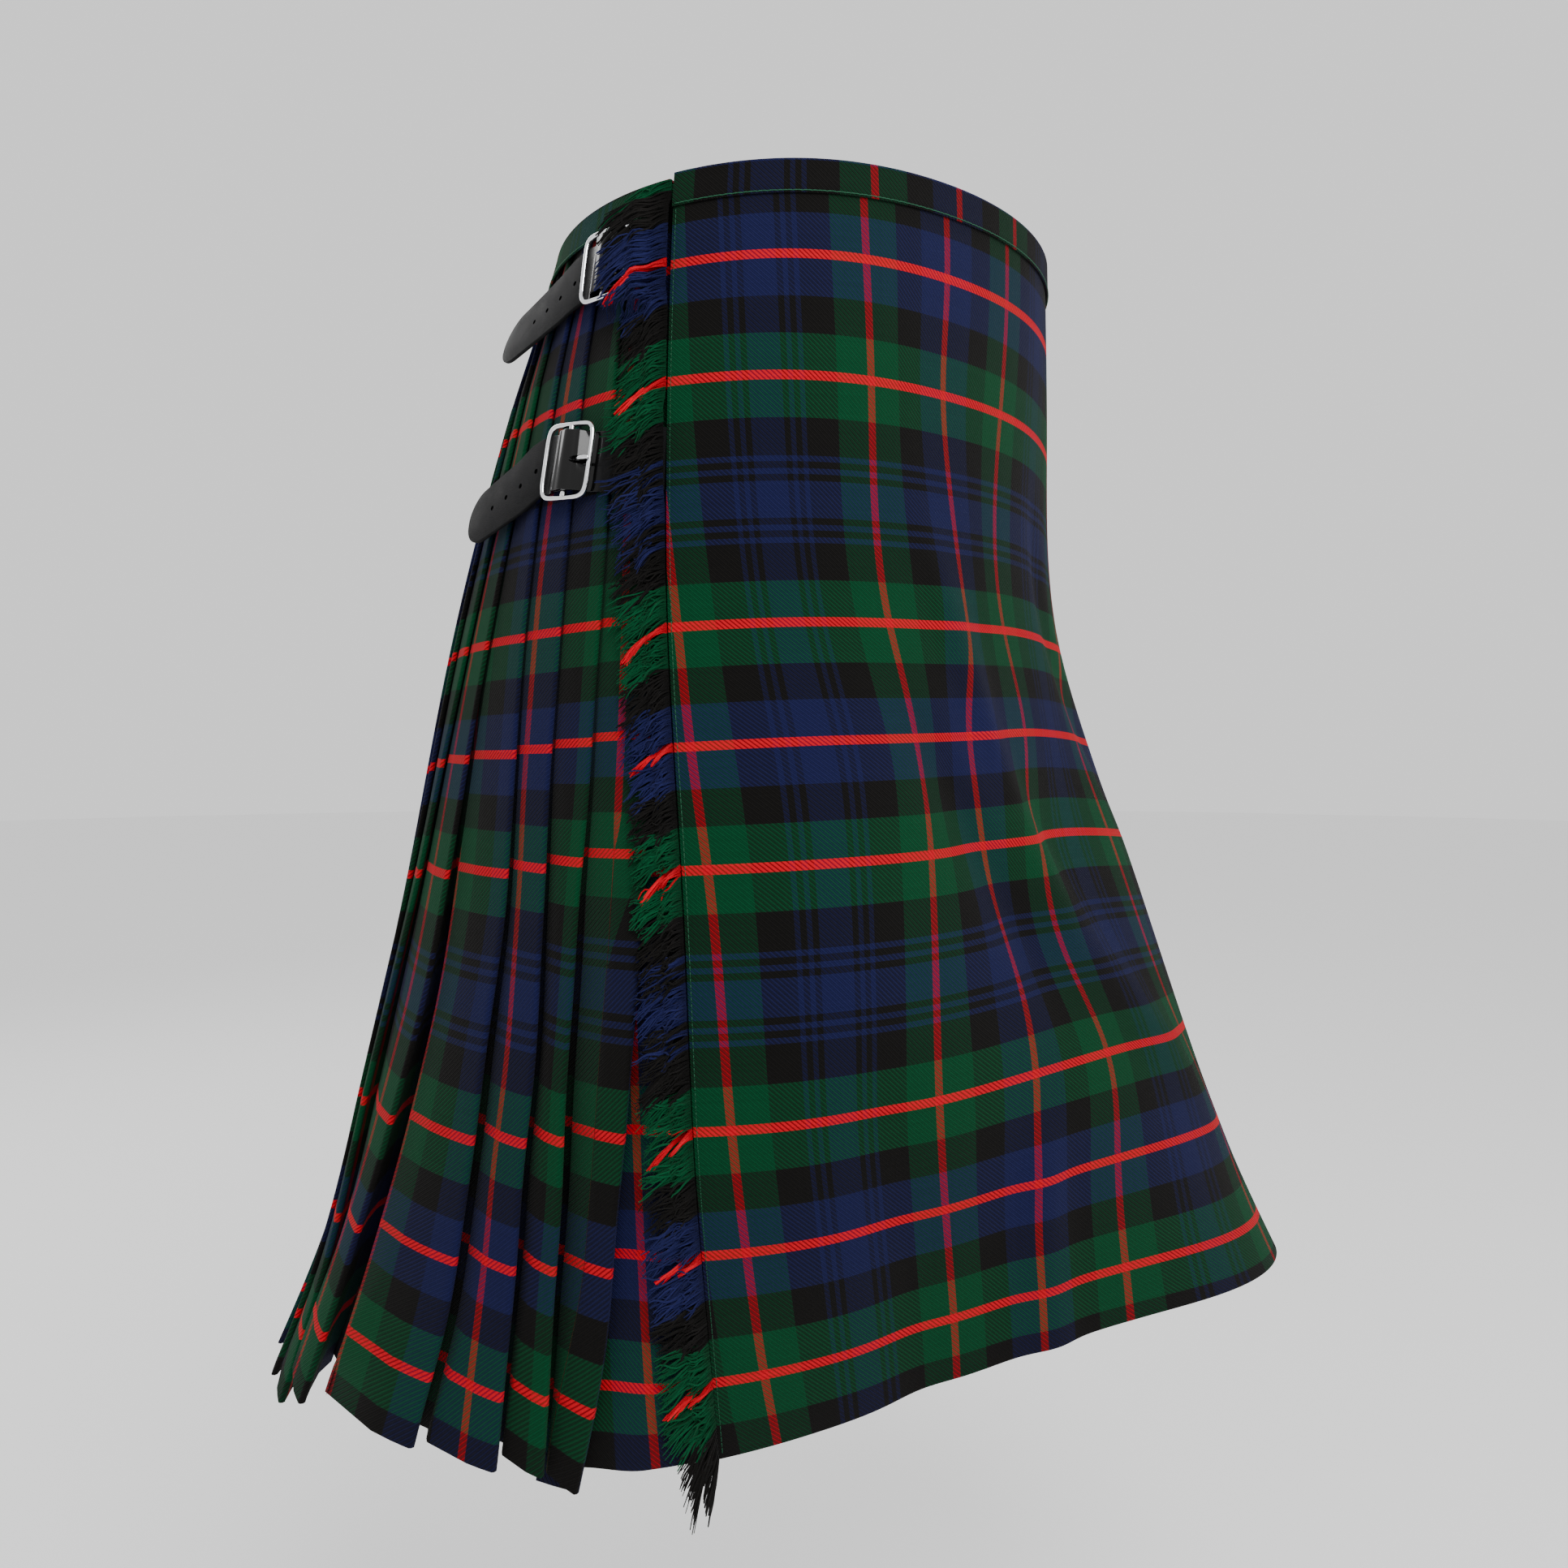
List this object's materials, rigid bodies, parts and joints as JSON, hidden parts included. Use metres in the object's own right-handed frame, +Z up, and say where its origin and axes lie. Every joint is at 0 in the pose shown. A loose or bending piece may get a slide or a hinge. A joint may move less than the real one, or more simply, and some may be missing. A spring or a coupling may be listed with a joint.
{
  "type": "scottish kilt",
  "caption": "Wrap-over kilt of checked wool, with knife pleats round the back, a fringed apron edge and buckled leather straps, shaped as worn.",
  "frame": {"origin": "centre of the waist, 30 mm below the top edge of the front", "axes": "+Z up out of the waist, -Y towards the wearer's front, -X towards the wearer's right"},
  "size_m": [0.5421, 0.5342, 0.6329],
  "materials": {
    "wool": "matt twill",
    "leather": "satin grain",
    "chrome": "polished"
  },
  "bodies": {
    "root": {"over_apron": "wool", "under_apron": "wool", "pleats": "wool", "waistband_over": "wool", "waistband_pleats": "wool", "waistband_under": "wool", "fringe_near": "wool", "fringe_far": "wool", "strap_waist_right": "leather", "tab_waist_right": "leather", "buckle_waist_right": "chrome", "prong_waist_right": "chrome", "strap_hip_right": "leather", "tab_hip_right": "leather", "buckle_hip_right": "chrome", "prong_hip_right": "chrome", "strap_waist_left": "leather", "tab_waist_left": "leather", "buckle_waist_left": "chrome", "prong_waist_left": "chrome"}
  },
  "joints": []
}
